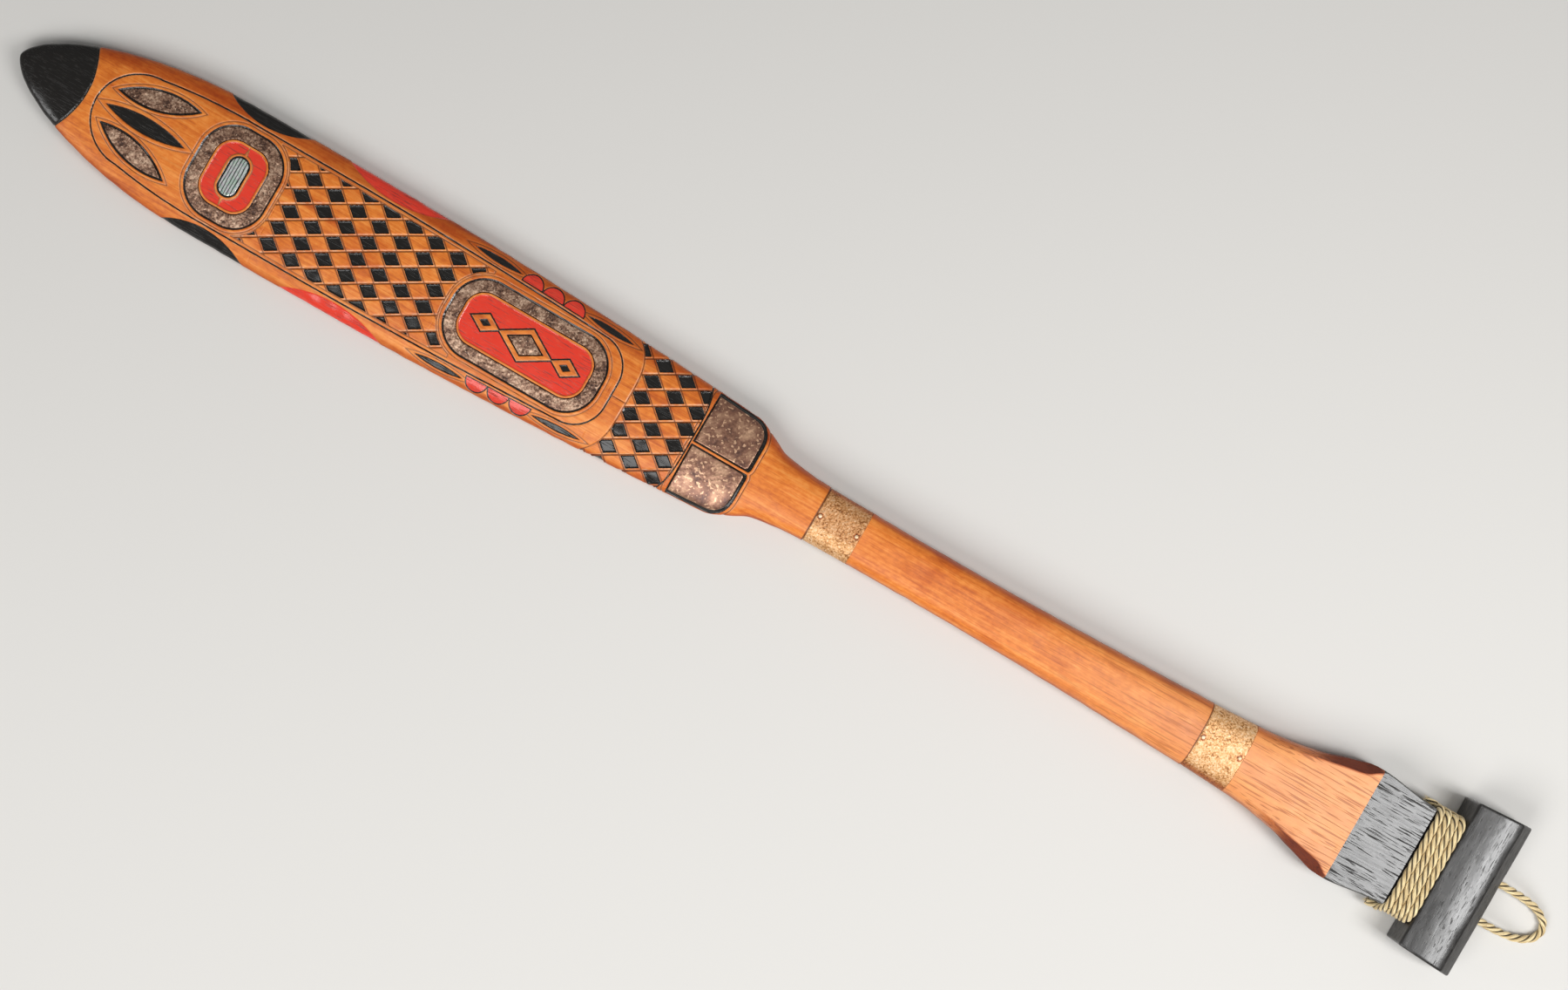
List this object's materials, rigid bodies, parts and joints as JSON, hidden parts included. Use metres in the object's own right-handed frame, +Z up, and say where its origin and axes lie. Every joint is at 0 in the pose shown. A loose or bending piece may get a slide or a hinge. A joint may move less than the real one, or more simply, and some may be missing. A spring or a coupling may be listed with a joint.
{
  "type": "carved paddle",
  "caption": "Carved wooden paddle with a leaf-shaped inlaid blade, copper bands on the shaft, and a crosspiece grip bound with rope that ends in a hanging loop.",
  "frame": {"origin": "on the table under the middle of the paddle's length without its rope loop, halfway across its width", "axes": "+X along the paddle from the blade's tip to the crosspiece, +Y across it, +Z up from the table on which it lies on its back"},
  "size_m": [1.0442, 0.1, 0.0302],
  "materials": {
    "oiled_cedar": "carved red cedar, oiled to a satin sheen",
    "black_paint": "wood brushed with satin black paint",
    "inlay_copper": "hammered sheet copper, darkened",
    "band_copper": "hammered sheet copper, bright",
    "abalone": "polished shell, pearly",
    "hemp_rope": "three-strand laid natural fibre rope"
  },
  "bodies": {
    "root": {"paddle_body": "oiled_cedar", "cross_grip": "black_paint", "long_ring_inlay": "inlay_copper", "small_ring_inlay": "inlay_copper", "shell_inlay": "abalone", "lozenge_inlay": "inlay_copper", "leaf_inlay_left": "inlay_copper", "leaf_inlay_right": "inlay_copper", "root_plate_left": "inlay_copper", "root_plate_right": "inlay_copper", "blade_end_band": "band_copper", "grip_end_band": "band_copper", "band_tack_1": "band_copper", "band_tack_2": "band_copper", "band_tack_3": "band_copper", "band_tack_4": "band_copper", "band_tack_5": "band_copper", "band_tack_6": "band_copper", "band_tack_7": "band_copper", "band_tack_8": "band_copper", "rope_lashing": "hemp_rope", "rope_loop": "hemp_rope"}
  },
  "joints": []
}
